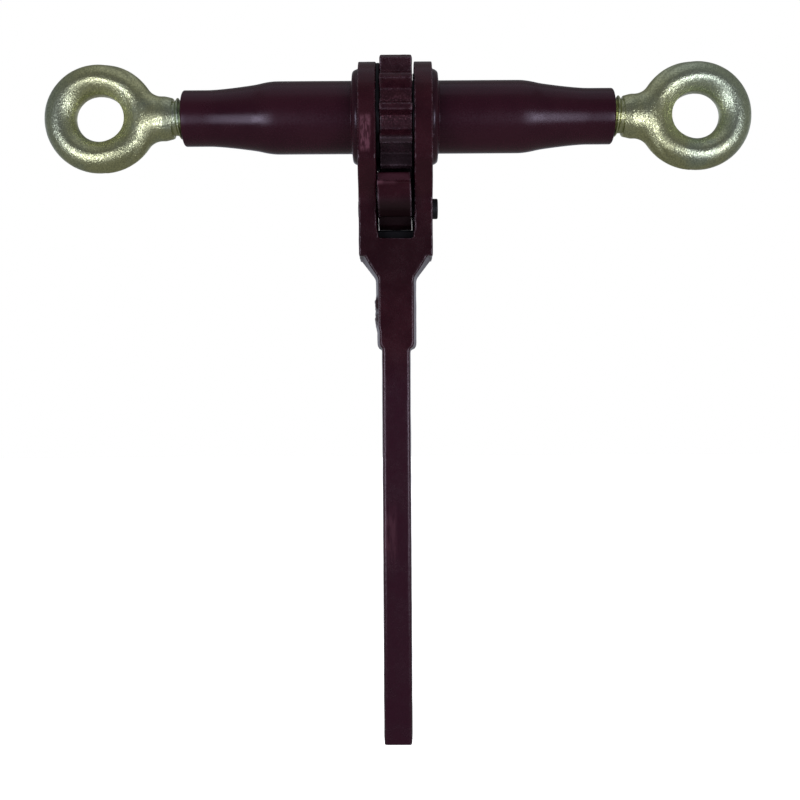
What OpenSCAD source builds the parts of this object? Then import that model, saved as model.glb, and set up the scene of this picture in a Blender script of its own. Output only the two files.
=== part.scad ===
// Ratchet turnbuckle: a threaded barrel pulls two eye bolts together.
// A forked handle rides on the barrel over a toothed wheel, and a two-way pawl locks the two.
// Origin: centre of the left eye's hole. +X runs along the screws to the right eye,
// +Z is up and the handle hangs down. Millimetres.

/* [Barrel] */
// Length of the barrel
barrel_l = 254; // [236:1:320]
// Outside diameter of the barrel's full-size middle
barrel_d = 42.4; // [41:0.2:44]
// Outside diameter of the necked ends
barrel_end_d = 32.7; // [31.5:0.1:35]
// Length of the straight part of each necked end
barrel_end_l = 15.5; // [10:0.5:22]
// Length of each taper, from the necked end to the full diameter
barrel_taper_l = 40; // [30:1:48]
// Wall of the tube in the middle
barrel_wall = 4.5; // [3.5:0.1:5]
// Length of the threaded bore at each end
nut_l = 30; // [24:1:32]
// Length of the inner cone between the threaded bore and the middle bore
bore_cone_l = 22; // [18:1:26]
// Rounding of the barrel's end rims
barrel_edge_r = 1.2; // [0.6:0.1:1.8]

/* [Screws] */
// Outside diameter of the thread
screw_d = 24; // [23:0.1:25]
// Advance of a screw in one turn of the barrel
thread_lead = 4; // [3.5:0.1:4.5]
// Height of the thread above its core
thread_h = 1.8; // [1.4:0.1:2]
// Radial running clearance of the thread in the barrel
thread_clear = 0.3; // [0.25:0.05:0.4]
// Thread left showing between an eye's neck and the barrel
thread_showing = 5.9; // [5:0.1:12]
// Gap between the two screws' inner ends when both are run right in
screw_gap = 11; // [8:0.5:60]

/* [Eyes] */
// Outside diameter of an eye
eye_d = 64.3; // [62:0.1:70]
// Thickness of the eye's round bar
eye_bar_d = 19; // [18:0.1:21]
// Diameter of the eye's hole
eye_hole_d = 27.2; // [26.6:0.1:28]
// Shift of the eye's broad shoulder towards its neck
shoulder_shift = 2.4; // [1.5:0.1:3]
// Diameter of the neck
neck_d = 26.3; // [25.5:0.1:28]
// Radius of the hollow between shoulder and neck
neck_fillet_r = 10; // [8:0.5:12]
// Distance from the eye's centre to the end of its neck
neck_reach = 44.8; // [43:0.1:50]
// Rounding at the end of the neck
neck_edge_r = 1.8; // [1:0.1:2]

/* [Screw stops] */
// Outside diameter of the loose stop washer
stop_d = 27.2; // [26.5:0.1:28]
// Thickness of the stop washer
stop_t = 3; // [2:0.1:4]
// Diameter of the cross pin that holds the washer on
stop_pin_d = 5; // [4:0.1:6]
// Length of the cross pin
stop_pin_l = 26.5; // [26:0.1:30]
// Distance from the screw's inner end to the cross pin
stop_pin_inset = 6; // [5:0.1:8]

/* [Ratchet wheel] */
// Number of teeth
teeth = 12;
// Diameter over the teeth
wheel_tip_d = 73.2; // [72.4:0.1:73.6]
// Diameter at the bottom of the gaps
wheel_root_d = 59.4; // [58:0.1:60.4]
// Width of the wheel along the barrel
wheel_w = 18.9; // [17:0.1:20]
// Width of a tooth at its tip
tooth_tip_w = 3.5; // [3:0.05:4.6]
// Width of a tooth at its foot
tooth_foot_w = 7.9; // [7.5:0.05:8.6]
// Small chamfer on the side edges of the teeth
wheel_edge = 0.3; // [0.3:0.1:1]
// Turn of the wheel past square with the handle, degrees; the pawl's horns leave room for it
wheel_rest_a = 3.7; // [0:0.1:4]
// Offset of the wheel from the barrel's middle
wheel_offset = -1.2; // [-3:0.1:3]

/* [Collars] */
// Outside diameter of the two retaining collars
collar_d = 56; // [52:0.5:60]
// Thickness of a collar
collar_t = 3.3; // [3:0.1:4]
// Rounding of a collar's outer corner
collar_edge_r = 2.6; // [1.5:0.1:2.8]

/* [Fork] */
// Diameter of an ear where it goes round the barrel
ear_d = 64; // [60:0.5:68]
// Thickness of each ear
ear_t = 10.5; // [9:0.1:12]
// Width of the slot between the ears
slot_w = 22.1; // [21:0.1:25]
// Offset of the handle and collars from the wheel's middle
handle_offset = -0.5; // [-0.8:0.1:0.8]
// Clearance of the ears on the barrel and between the collars
ear_clear = 0.3; // [0.25:0.05:0.4]
// Straight front of the ear below the barrel's axis
ear_drop = 30; // [26:1:31]
// Distance from the barrel's axis to the pawl pin
pin_drop = 54.5; // [54:0.1:55.5]
// Depth of the slot below the pawl pin
slot_below_pin = 19.3; // [19:0.1:24]
// Loss of slot width at each side at its bottom
slot_draw_in = 1.2; // [0.5:0.1:1.6]
// Depth of the fork, front to back, at the pawl pin
fork_depth = 36; // [32:0.5:42]
// Solid height from the slot's bottom to the start of the shoulders
shoulder_drop = 10.2; // [6:0.1:14]
// Height of the sloping shoulders
shoulder_h = 12.4; // [11:0.1:20]

/* [Neck and bar] */
// Width of the handle's neck at its middle plane
handle_neck_w = 24; // [22:0.1:26]
// Length of the handle's neck
handle_neck_l = 41.5; // [34:0.1:60]
// Side slope of the neck and shoulders, sideways per unit of depth
neck_draft = 0.23; // [0.12:0.01:0.26]
// Width of the bar at its middle plane
bar_w = 17.4; // [15:0.1:19]
// Side slope of the bar, sideways per unit of depth
bar_draft = 0.1; // [0:0.01:0.14]
// Depth of the bar, front to back
bar_depth = 28.6; // [24:0.2:30]
// Length of the bar below the neck
bar_l = 231.3; // [120:0.1:400]
// Rounding of the bar's long edges
bar_edge_r = 1.5; // [0.8:0.1:2.5]
// Length of the tenon that joins the bar to the neck
tenon_l = 34; // [20:1:34]
// Width of the tenon
tenon_w = 10; // [7:0.5:12]
// Depth of the tenon, front to back
tenon_depth = 18; // [12:0.5:20]

/* [Pawl] */
// Width of the pawl
pawl_w = 19.4; // [18:0.1:20.4]
// Side play between the pawl and the left ear
pawl_side_gap = 0.3; // [0.2:0.05:0.5]
// Rock from the middle position to either engaged position, degrees
pawl_rock = 22.5; // [22:0.1:23]
// Room between a seated horn and the bottom of the gap
horn_floor_gap = 2; // [1.6:0.1:2.6]
// Width of a horn at its tip
horn_tip_w = 3.4; // [3:0.1:3.8]
// Room between a lobe and the passing tooth tips
lobe_tip_gap = 1.3; // [1:0.1:1.6]
// Height of the lobe's front
lobe_h = 15; // [12:0.5:16]
// Distance from the pin's axis to the flats under the pawl
heel_r = 12.8; // [11.5:0.1:13.5]
// Diameter of the pawl pin
pin_d = 10; // [9:0.1:11]
// Running clearance of the pawl on its pin, radial
pin_clear = 0.1; // [0.05:0.01:0.1]
// Diameter of the pin's head
pin_head_d = 12; // [11.5:0.1:14]
// Thickness of the pin's head
pin_head_t = 3.4; // [2:0.1:4]
// Length of the pin's riveted end outside the left ear
pin_proud = 0.6; // [0.3:0.1:1.5]

/* [Detent] */
// Diameter of the spring plunger under the pawl
plunger_d = 8; // [7:0.1:8.6]
// Length of the plunger
plunger_l = 16; // [13:0.5:17]
// Clearance of the plunger in its hole, radial
plunger_clear = 0.1; // [0.05:0.01:0.1]
// Gap between the plunger and the pawl's flats
plunger_gap = 0.3; // [0.3:0.05:0.5]
// Depth of the plunger's hole below the slot
plunger_hole_l = 22; // [20:0.5:23]
// Thickness of the spring's wire
spring_wire_d = 1; // [0.8:0.05:1.2]
// Outside diameter of the spring
spring_d = 7; // [6:0.1:7.2]
// Number of curls of the spring
spring_curls = 5;

/* [Hidden] */
$fn = 96;

paint = [0.27, 0.12, 0.16];
dark_paint = [0.2, 0.09, 0.12];
yellow_zinc = [0.62, 0.6, 0.42];
dark_steel = [0.16, 0.15, 0.17];
bright_steel = [0.7, 0.7, 0.72];

// How far a cut runs past the face that it opens
past = 1;

// Places along the screws
barrel_start = neck_reach + thread_showing;
barrel_mid = barrel_start + barrel_l / 2;
wheel_mid = barrel_mid + wheel_offset;
handle_mid = wheel_mid + handle_offset;
screw_end = barrel_mid - screw_gap / 2;

// Barrel
barrel_r = barrel_d / 2;
nut_r = screw_d / 2 + thread_clear;
middle_bore_r = barrel_r - barrel_wall;

// Screws: the ridge of each thread is a solid of its own round a plain core
ridge_foot_r = screw_d / 2 - thread_h;
core_r = ridge_foot_r - 0.25;
ridge_sides = 16;
screw_chamfer = 1.5;
stop_clear = 0.2;
stop_pin_x = screw_end - stop_pin_inset;
stop_inner_x = stop_pin_x - stop_pin_d / 2 - stop_clear;
thread_start = neck_reach + 0.8;
thread_end = stop_inner_x - stop_t - 1;

// Eyes
eye_r = eye_d / 2;
ring_r = eye_r - eye_bar_d / 2;
neck_r = neck_d / 2;
shoulder_r = norm([shoulder_shift, eye_r]);
fillet_z = neck_r + neck_fillet_r;
fillet_x = shoulder_shift + sqrt(pow(shoulder_r + neck_fillet_r, 2) - fillet_z * fillet_z);
fillet_start_x = shoulder_shift
    + (fillet_x - shoulder_shift) * shoulder_r / (shoulder_r + neck_fillet_r);

// Fork, with the side away from the barrel called below
fork_w = slot_w + 2 * ear_t;
slot_bottom_z = -(pin_drop + slot_below_pin);
slot_draw_top_z = -(pin_drop + heel_r / cos(pawl_rock / 2));
shoulder_z = slot_bottom_z - shoulder_drop;
neck_top_z = shoulder_z - shoulder_h;
neck_end_z = neck_top_z - handle_neck_l;
bar_end_z = neck_end_z - bar_l;
fork_half = fork_depth / 2;
bar_half = bar_depth / 2;
tenon_end_gap = 0.5;
collar_gap = fork_w / 2 + ear_clear;

// Pawl and detent
pawl_x = handle_mid - slot_w / 2 + pawl_side_gap;
heel_z = -(pin_drop + heel_r);
plunger_top_z = heel_z - plunger_gap;
plunger_end_z = plunger_top_z - plunger_l;
plunger_hole_end_z = slot_bottom_z - plunger_hole_l;

// ---- Small geometry helpers ----

function unit(v) = v / norm(v);

// Points of the arc that rounds corner b, between a and c, with radius r
function corner(a, b, c, r, steps) =
    let (u = unit(a - b), v = unit(c - b), half = acos(u * v) / 2, middle = unit(u + v),
         centre = b + middle * (r / sin(half)), back = r / tan(half),
         p = b + u * back - centre, q = b + v * back - centre,
         from = atan2(p.y, p.x), turn = atan2(q.y, q.x) - from,
         sweep = turn > 180 ? turn - 360 : turn < -180 ? turn + 360 : turn)
    [for (i = [0:steps]) centre + r * [cos(from + sweep * i / steps), sin(from + sweep * i / steps)]];

// Outline with a radius at each corner; a radius of 0 keeps the corner sharp
function rounded(points, radii, steps = 6) =
    let (n = len(points))
    [for (i = [0:n - 1]) each radii[i] == 0 ? [points[i]]
        : corner(points[(i + n - 1) % n], points[i], points[(i + 1) % n], radii[i], steps)];

// Half an outline, from top to bottom, closed by its mirror image in the first coordinate
function both_sides(half) =
    concat(half, [for (i = [len(half) - 1:-1:0]) if (half[i].x != 0) [-half[i].x, half[i].y]]);

// Side view (y, z) extruded along X, centred on x
module across(x, width) {
    translate([x - width / 2, 0, 0]) rotate([90, 0, 90]) linear_extrude(width) children();
}

// Skin over a list of closed sections with the same number of points, which run clockwise
// seen from the last section
module skin(sections) {
    n = len(sections[0]);
    last = len(sections) - 1;
    polyhedron(
        points = [for (s = sections) each s],
        faces = concat(
            [[for (i = [n - 1:-1:0]) i]],
            [for (k = [0:last - 1], i = [0:n - 1]) each
                let (a = k * n + i, b = k * n + (i + 1) % n)
                [[a, b, a + n], [b, b + n, a + n]]],
            [[for (i = [0:n - 1]) last * n + i]]));
}

// Right-hand pieces are the left-hand ones seen in a mirror half way along the barrel
module at_right() {
    translate([2 * barrel_mid, 0, 0]) mirror([1, 0, 0]) children();
}

// ---- Barrel, wheel and collars ----

// Swell of the taper, 0 at the necked end and 1 at the full diameter: hollow up to the knee,
// then crowned
taper_knee = 0.71;
hollow_power = 1.38;
crown_power = 1.7;
function swell(t) = t < taper_knee ? pow(t, hollow_power)
    : 1 - (1 - pow(taper_knee, hollow_power)) * pow((1 - t) / (1 - taper_knee), crown_power);

taper_steps = 12;
barrel_end_r = barrel_end_d / 2;
barrel_half_outline = concat(
    [[nut_r, 0]],
    corner([nut_r, 0], [barrel_end_r, 0], [barrel_end_r, barrel_end_l], barrel_edge_r, 4),
    [for (i = [0:taper_steps]) let (t = i / taper_steps)
        [barrel_end_r + (barrel_r - barrel_end_r) * swell(t), barrel_end_l + barrel_taper_l * t]],
    [[barrel_r, barrel_l / 2], [middle_bore_r, barrel_l / 2],
     [middle_bore_r, nut_l + bore_cone_l], [nut_r, nut_l]]);

module half_barrel() {
    translate([barrel_start, 0, 0]) rotate([0, 90, 0]) rotate_extrude()
        polygon(barrel_half_outline);
}

module barrel() {
    color(paint) union() {
        half_barrel();
        at_right() half_barrel();
    }
}

// Tooth pointing up, sunk into the wheel and cut to length later
module wheel_tooth() {
    root = wheel_root_d / 2;
    tip = wheel_tip_d / 2 + past;
    flank = (tooth_foot_w - tooth_tip_w) / (wheel_tip_d - wheel_root_d);
    sunk = 4;
    polygon(both_sides([[tooth_tip_w / 2 - flank * past, tip], [tooth_foot_w / 2, root],
                        [tooth_foot_w / 2 - sunk / 2, root - sunk]]));
}

module ratchet_wheel() {
    tip = wheel_tip_d / 2;
    color(dark_paint) difference() {
        intersection() {
            union() {
                across(wheel_mid, wheel_w) circle(d = wheel_root_d);
                for (i = [0:teeth - 1])
                    across(wheel_mid, wheel_w) rotate(180 + wheel_rest_a + i * 360 / teeth)
                        wheel_tooth();
            }
            translate([wheel_mid, 0, 0]) rotate([0, 90, 0]) rotate_extrude()
                polygon([[0, -wheel_w / 2], [tip - wheel_edge, -wheel_w / 2],
                         [tip, -wheel_w / 2 + wheel_edge], [tip, wheel_w / 2 - wheel_edge],
                         [tip - wheel_edge, wheel_w / 2], [0, wheel_w / 2]]);
        }
        across(wheel_mid, wheel_w + 2 * past) circle(d = barrel_d);
    }
}

// Collar outside the fork on one side, side being -1 for left and 1 for right
module collar(side) {
    r = collar_d / 2;
    color(paint) translate([handle_mid + side * collar_gap, 0, 0]) rotate([0, side * 90, 0])
        rotate_extrude() polygon(concat(
            [[barrel_r, 0], [r, 0]],
            corner([r, 0], [r, collar_t], [barrel_r, collar_t], collar_edge_r, 6),
            [[barrel_r, collar_t]]));
}

module left_collar() { collar(-1); }
module right_collar() { collar(1); }

// ---- Fork and bar ----

// Side view of the ears, fork and neck: under the ear the front draws in to the fork's depth
// a little above the pawl pin, then on down to the neck
brow_above_pin = 4;
ear_foot_r = 9;
brow_r = 14;
nape_r = 30;
module fork_side() {
    ear_r = ear_d / 2;
    half = [[ear_r, 0], [ear_r, -ear_drop], [fork_half, -pin_drop + brow_above_pin],
            [bar_half, neck_top_z], [bar_half, neck_end_z]];
    union() {
        circle(d = ear_d);
        polygon(rounded(both_sides(half),
                        [0, ear_foot_r, brow_r, nape_r, 0, 0, nape_r, brow_r, ear_foot_r, 0]));
    }
}

// Front view of the shoulders and neck at the middle plane, from the top down: [half width, z]
shoulder_hollow_r = 5;
neck_end_r = 4;
neck_end_fall = 2.5;
shoulder_slope = (fork_w - handle_neck_w) / 2 / shoulder_h;
lower_top_z = slot_bottom_z + 1;
lower_half_w = handle_neck_w / 2 + shoulder_slope * (lower_top_z - neck_top_z);
lower_outline = concat(
    [[lower_half_w, lower_top_z]],
    corner([lower_half_w, lower_top_z], [handle_neck_w / 2, neck_top_z],
           [handle_neck_w / 2, neck_end_z], shoulder_hollow_r, 6),
    corner([handle_neck_w / 2, neck_top_z], [handle_neck_w / 2, neck_end_z],
           [0, neck_end_z - neck_end_fall], neck_end_r, 5));

// Six-sided section with sloping sides, half_w wide at its middle plane
function drafted(half_w, half_depth, draft) =
    let (w = half_w - draft * half_depth)
    [[half_w, 0], [w, half_depth], [-w, half_depth],
     [-half_w, 0], [-w, -half_depth], [w, -half_depth]];

module fork_lower() {
    reach = fork_half + 2;
    intersection() {
        translate([handle_mid, 0, 0]) skin([for (level = lower_outline)
            [for (p = drafted(level.x, reach, neck_draft)) [p.x, p.y, level.y]]]);
        across(handle_mid, fork_w) fork_side();
    }
}

module fork() {
    color(paint) difference() {
        union() {
            intersection() {
                across(handle_mid, fork_w) fork_side();
                translate([handle_mid - fork_w, -ear_d, shoulder_z])
                    cube([2 * fork_w, 2 * ear_d, 2 * ear_d]);
            }
            fork_lower();
        }
        // slot for the wheel and pawl
        translate([handle_mid, ear_d, 0]) rotate([90, 0, 0]) linear_extrude(2 * ear_d)
            polygon(both_sides([[slot_w / 2, ear_d], [slot_w / 2, slot_draw_top_z],
                                [slot_w / 2 - slot_draw_in, slot_bottom_z]]));
        across(handle_mid, fork_w + 2 * past) circle(r = barrel_r + ear_clear);
        translate([0, 0, -pin_drop]) across(handle_mid, fork_w + 2 * past) circle(d = pin_d);
        translate([handle_mid, 0, plunger_hole_end_z])
            cylinder(r = plunger_d / 2 + plunger_clear, h = plunger_hole_l + past);
        // mortise for the bar's tenon
        mortise_start_z = neck_end_z - neck_end_fall - past;
        translate([handle_mid - tenon_w / 2, -tenon_depth / 2, mortise_start_z])
            cube([tenon_w, tenon_depth, neck_end_z + tenon_l + tenon_end_gap - mortise_start_z]);
    }
}

bar_end_r = 2;
module handle_bar() {
    corners = drafted(bar_w / 2, bar_half, bar_draft);
    color(paint) translate([handle_mid, 0, 0]) {
        intersection() {
            translate([0, 0, bar_end_z]) linear_extrude(bar_l)
                polygon(rounded(corners, [1, 1, 1, 1, 1, 1] * bar_edge_r, 4));
            rotate([90, 0, 0]) linear_extrude(2 * bar_depth, center = true)
                polygon(rounded([[-bar_w, neck_end_z + past], [-bar_w / 2, bar_end_z],
                                 [bar_w / 2, bar_end_z], [bar_w, neck_end_z + past]],
                                [0, bar_end_r, bar_end_r, 0], 4));
        }
        translate([-tenon_w / 2, -tenon_depth / 2, neck_end_z - past])
            cube([tenon_w, tenon_depth, tenon_l + past]);
    }
}

// ---- Pawl, pin and detent ----

// Point at radius r and angle a from straight down, seen from the right: [y, z]
function round_wheel(r, a) = [r * sin(a), -r * cos(a)];

// Point p turned about the pawl pin by angle a
function rock(p, a) =
    let (y = p.x, z = p.y + pin_drop)
    [y * cos(a) - z * sin(a), y * sin(a) + z * cos(a) - pin_drop];

// One horn, drawn where it sits in the gap beside the lowest tooth, then rocked back
pitch = 360 / teeth;
tip_r = wheel_tip_d / 2;
horn_r = wheel_root_d / 2 + horn_floor_gap;
horn_half_a = horn_tip_w / 2 / horn_r * 180 / PI;
horn_root_gap = 1.6;
horn_back_gap = 0.4;
// a seated horn leaves room for the wheel's turn on both sides, in degrees
horn_room_a = wheel_rest_a + 1;
// lean of its tip towards the lowest tooth, so that it swings in clear of the next one
horn_lean_a = 1.9;
ledge_rise_a = 2.2;
tooth_tip_a = tooth_tip_w / wheel_tip_d * 180 / PI;
lobe_r = tip_r + lobe_tip_gap;
horn_outline = [for (p = [
    round_wheel(tip_r + horn_root_gap, tooth_tip_a + horn_room_a),
    round_wheel(horn_r, pitch / 2 - horn_lean_a - horn_half_a),
    round_wheel(horn_r, pitch / 2 - horn_lean_a + horn_half_a),
    round_wheel(tip_r + horn_back_gap, pitch - tooth_tip_a - horn_room_a),
    round_wheel(lobe_r, pitch - tooth_tip_a - horn_room_a + ledge_rise_a),
    round_wheel(lobe_r, pitch + tooth_tip_a + 0.8)]) rock(p, -pawl_rock)];

// Half of the pawl: saddle, horn, lobe, then the heel with a flat for each place of the rock
saddle_z = -tip_r - 3.4;
lobe_tip = horn_outline[5];
lobe_draw_in = 0.8;
heel_shoulder = 0.75;
flat_a = pawl_rock / 2;
heel_corner_r = heel_r / cos(flat_a);
pawl_radii = [1.5, 0.9, 1.8, 0.8, 1, 3.6, 10, 4];
pawl_half = concat(
    [[0, saddle_z]],
    rounded(concat(horn_outline, [
        lobe_tip + [-lobe_draw_in, -lobe_h],
        [heel_r, -pin_drop - heel_shoulder * heel_r]]), pawl_radii, 6),
    [for (a = [3 * flat_a, flat_a]) [heel_corner_r * sin(a), -pin_drop - heel_corner_r * cos(a)]]);

module pawl() {
    color(paint) difference() {
        across(pawl_x + pawl_w / 2, pawl_w) polygon(both_sides(pawl_half));
        translate([0, 0, -pin_drop]) across(pawl_x + pawl_w / 2, pawl_w + 2 * past)
            circle(r = pin_d / 2 + pin_clear);
    }
}

pin_chamfer = 0.4;
pin_head_edge_r = 0.8;
module pawl_pin() {
    r = pin_d / 2;
    head_r = pin_head_d / 2;
    left = -fork_w / 2 - pin_proud;
    right = fork_w / 2;
    head_end = right + pin_head_t;
    color(dark_steel) translate([handle_mid, 0, -pin_drop]) rotate([0, 90, 0]) rotate_extrude()
        polygon(concat(
            [[0, left], [r - pin_chamfer, left], [r, left + pin_chamfer], [r, right], [head_r, right]],
            corner([head_r, right], [head_r, head_end], [0, head_end], pin_head_edge_r, 4),
            [[0, head_end]]));
}

plunger_foot_chamfer = 0.5;
plunger_nose_chamfer = 1.5;
module detent_plunger() {
    r = plunger_d / 2;
    color(bright_steel) translate([handle_mid, 0, plunger_end_z]) rotate_extrude()
        polygon([[0, 0], [r - plunger_foot_chamfer, 0], [r, plunger_foot_chamfer],
                 [r, plunger_l - plunger_nose_chamfer], [r - plunger_nose_chamfer, plunger_l],
                 [0, plunger_l]]);
}

// Spring between the hole's bottom and the plunger, one unbroken tube
spring_end_gap = 0.3;
spring_low = plunger_hole_end_z + spring_end_gap;
spring_high = plunger_end_z - spring_end_gap;
coil_r = (spring_d - spring_wire_d) / 2;
spring_climb = (spring_high - spring_low - spring_wire_d) / spring_curls;
curl_rings = 8;
function on_spring(k) = let (a = 360 * k / curl_rings)
    [coil_r * cos(a), coil_r * sin(a), spring_low + spring_wire_d / 2 + spring_climb * k / curl_rings];
echo(spring_least_gap = min([for (k = [0:curl_rings - 1])
    norm(on_spring(k + curl_rings) - on_spring(k)) - spring_wire_d]));

module detent_spring() {
    color(bright_steel) translate([handle_mid, 0, 0])
        skin([for (k = [0:spring_curls * curl_rings])
            let (c = on_spring(k), a = 360 * k / curl_rings, out = [cos(a), sin(a), 0])
            [for (j = [0:5]) c + spring_wire_d / 2 * (cos(60 * j) * out + [0, 0, sin(60 * j)])]]);
}

// ---- Eye bolts ----

// The shoulder grows out of the round bar over shoulder_rise, and runs into the neck,
// which starts neck_lap before the hollow ends
shoulder_from = 3;
shoulder_rise = 9;
neck_lap = 3;
shoulder_to = fillet_x + 1;
web_half = eye_bar_d / 2 - 0.5;
sunk_at_start = 0.6;
sunk_at_neck = 0.25;

// Half height of the shoulder and hollow at distance x from the eye's centre
function shoulder_h_at(x) =
    let (sunk = sunk_at_start * max(0, 1 - (x - shoulder_from) / shoulder_rise)
            + sunk_at_neck * max(0, (x - fillet_x + neck_lap) / neck_lap))
    (x < fillet_start_x ? sqrt(shoulder_r * shoulder_r - pow(x - shoulder_shift, 2))
        : x < fillet_x ? fillet_z - sqrt(pow(neck_fillet_r, 2) - pow(fillet_x - x, 2))
        : neck_r) - sunk;

// Half thickness there: a little less than the round bar's at first, then swelling to a full round
function shoulder_t_at(x) =
    let (t = min(1, max(0, (x - ring_r) / (fillet_x - neck_lap - ring_r))), s = t * t * (3 - 2 * t))
    web_half + (shoulder_h_at(x) - web_half) * s;

// Oval section of the shoulder
section_sides = 28;
function shoulder_section(x) =
    [for (i = [0:section_sides - 1]) let (a = 360 * (i + 0.5) / section_sides)
        [x, shoulder_t_at(x) * cos(a), shoulder_h_at(x) * sin(a)]];

shoulder_steps = 15;

module ring_bar() {
    rotate([90, 0, 0]) rotate_extrude() translate([ring_r, 0]) circle(d = eye_bar_d);
}

module eye_shoulder() {
    difference() {
        skin([for (i = [shoulder_steps:-1:0])
            shoulder_section(shoulder_from + (shoulder_to - shoulder_from) * i / shoulder_steps)]);
        // inside the eye only the round bar itself is left
        rotate([90, 0, 0]) cylinder(r = ring_r, h = 3 * eye_bar_d, center = true);
    }
}

module eye_bolt() {
    color(yellow_zinc) difference() {
        union() {
            ring_bar();
            eye_shoulder();
            rotate([0, 90, 0]) rotate_extrude()
                polygon(concat(
                    [[0, fillet_x - neck_lap], [neck_r, fillet_x - neck_lap]],
                    corner([neck_r, fillet_x], [neck_r, neck_reach], [core_r, neck_reach], neck_edge_r, 5),
                    [[core_r, neck_reach], [core_r, screw_end - screw_chamfer],
                     [core_r - screw_chamfer, screw_end], [0, screw_end]]));
        }
        rotate([90, 0, 0]) cylinder(d = eye_hole_d, h = 2 * eye_bar_d, center = true);
        translate([stop_pin_x, 0, 0]) cylinder(d = stop_pin_d, h = screw_d, center = true);
    }
}

// Helical ridge of the thread, fading in and out over half a turn
root_land = 0.32;
module thread() {
    turns = (thread_end - thread_start) / thread_lead;
    rings = floor(turns * ridge_sides);
    half_foot = (thread_lead - root_land) / 2;
    fade_rings = ridge_sides / 2;
    color(yellow_zinc) skin([for (k = [0:rings])
        let (a = 360 * k / ridge_sides, x = thread_start + half_foot + thread_lead * k / ridge_sides,
             fade = min(1, (k + 1) / fade_rings, (rings - k + 1) / fade_rings),
             crest = ridge_foot_r + thread_h * fade, out = [0, cos(a), sin(a)])
        [[x - half_foot, 0, 0] + ridge_foot_r * out, [x, 0, 0] + crest * out,
         [x + half_foot, 0, 0] + ridge_foot_r * out]]);
}

module stop_washer() {
    color(bright_steel) translate([stop_inner_x - stop_t, 0, 0]) rotate([0, 90, 0]) difference() {
        cylinder(d = stop_d, h = stop_t);
        translate([0, 0, -past]) cylinder(r = screw_d / 2 + stop_clear, h = stop_t + 2 * past);
    }
}

module stop_pin() {
    color(bright_steel) translate([stop_pin_x, 0, 0])
        cylinder(d = stop_pin_d, h = stop_pin_l, center = true);
}

module left_eye_bolt() { eye_bolt(); }
module left_thread() { thread(); }
module left_stop_washer() { stop_washer(); }
module left_stop_pin() { stop_pin(); }
module right_eye_bolt() { at_right() eye_bolt(); }
module right_thread() { at_right() thread(); }
module right_stop_washer() { at_right() stop_washer(); }
module right_stop_pin() { at_right() stop_pin(); }

barrel();
ratchet_wheel();
left_collar();
right_collar();
fork();
handle_bar();
pawl();
pawl_pin();
detent_plunger();
detent_spring();
left_eye_bolt();
left_thread();
left_stop_washer();
left_stop_pin();
right_eye_bolt();
right_thread();
right_stop_washer();
right_stop_pin();
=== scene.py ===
# %% [markdown]
# # Dressing a ratchet turnbuckle
# A ratchet turnbuckle is a painted barrel that draws two plated eye bolts together while a forked
# handle turns it. The construction comes as a fixed frame of named nodes on named bodies. This
# lesson gives each of them the surface that it has in the workshop: gloss enamel over rough
# forgings, yellow zinc over forged eyes, and cut threads. Everything is in metres.

# %% Load the frame
import math

import bmesh
import bpy
import numpy as np
from mathutils import Matrix, Vector, noise


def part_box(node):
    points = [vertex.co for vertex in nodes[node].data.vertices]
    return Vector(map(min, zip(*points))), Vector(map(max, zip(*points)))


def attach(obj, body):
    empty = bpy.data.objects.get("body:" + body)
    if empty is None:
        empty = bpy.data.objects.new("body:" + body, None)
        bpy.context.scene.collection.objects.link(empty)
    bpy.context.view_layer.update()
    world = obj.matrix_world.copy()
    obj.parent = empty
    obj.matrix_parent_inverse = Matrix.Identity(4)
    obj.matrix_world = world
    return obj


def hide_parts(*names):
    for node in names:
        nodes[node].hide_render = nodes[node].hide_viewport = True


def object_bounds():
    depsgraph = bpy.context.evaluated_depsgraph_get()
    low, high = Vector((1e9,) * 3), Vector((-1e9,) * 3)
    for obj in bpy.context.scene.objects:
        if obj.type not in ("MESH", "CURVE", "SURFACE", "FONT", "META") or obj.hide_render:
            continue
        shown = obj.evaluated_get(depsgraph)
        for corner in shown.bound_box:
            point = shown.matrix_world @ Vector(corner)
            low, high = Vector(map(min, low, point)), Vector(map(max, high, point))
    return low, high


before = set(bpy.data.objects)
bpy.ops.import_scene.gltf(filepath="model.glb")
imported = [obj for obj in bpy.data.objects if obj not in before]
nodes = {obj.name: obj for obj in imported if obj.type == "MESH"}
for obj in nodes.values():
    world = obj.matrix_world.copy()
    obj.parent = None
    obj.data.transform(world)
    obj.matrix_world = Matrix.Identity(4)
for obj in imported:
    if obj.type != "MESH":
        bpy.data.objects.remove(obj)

cad_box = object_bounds()
MM = 0.001
print("nodes:", sorted(nodes))

# %% [markdown]
# Every place and size that follows is taken from the nodes, so each surface sits where its solid
# does. A node's box gives its lowest and highest corner; two helpers turn that into a middle and a
# size.

# %% Middle and size of a node


def middle(node):
    low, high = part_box(node)
    return (low + high) / 2


def size(node):
    low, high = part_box(node)
    return high - low


barrel_middle_x = middle("barrel").x
wheel_x = middle("ratchet_wheel").x
pin_z = middle("pawl_pin").z
print("wheel at", round(wheel_x / MM, 2), "mm, pin at", round(pin_z / MM, 2), "mm")

# %% [markdown]
# The camera comes first, because it decides what has to be looked at most. The tool is seen square
# from the front, from a little under 0.7 m, with the lens a little above the middle of the handle,
# so the barrel and the eyes are seen slightly from below. The camera is rolled by a third of a
# degree, so the barrel doesn't lie quite level in its view.

# %% Camera
CAMERA_AT = Vector((0.1779, -0.684, -0.1680))
CAMERA_LENS = 51.75
CAMERA_ROLL = math.radians(-0.34)
SENSOR_WIDTH = 36

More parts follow.
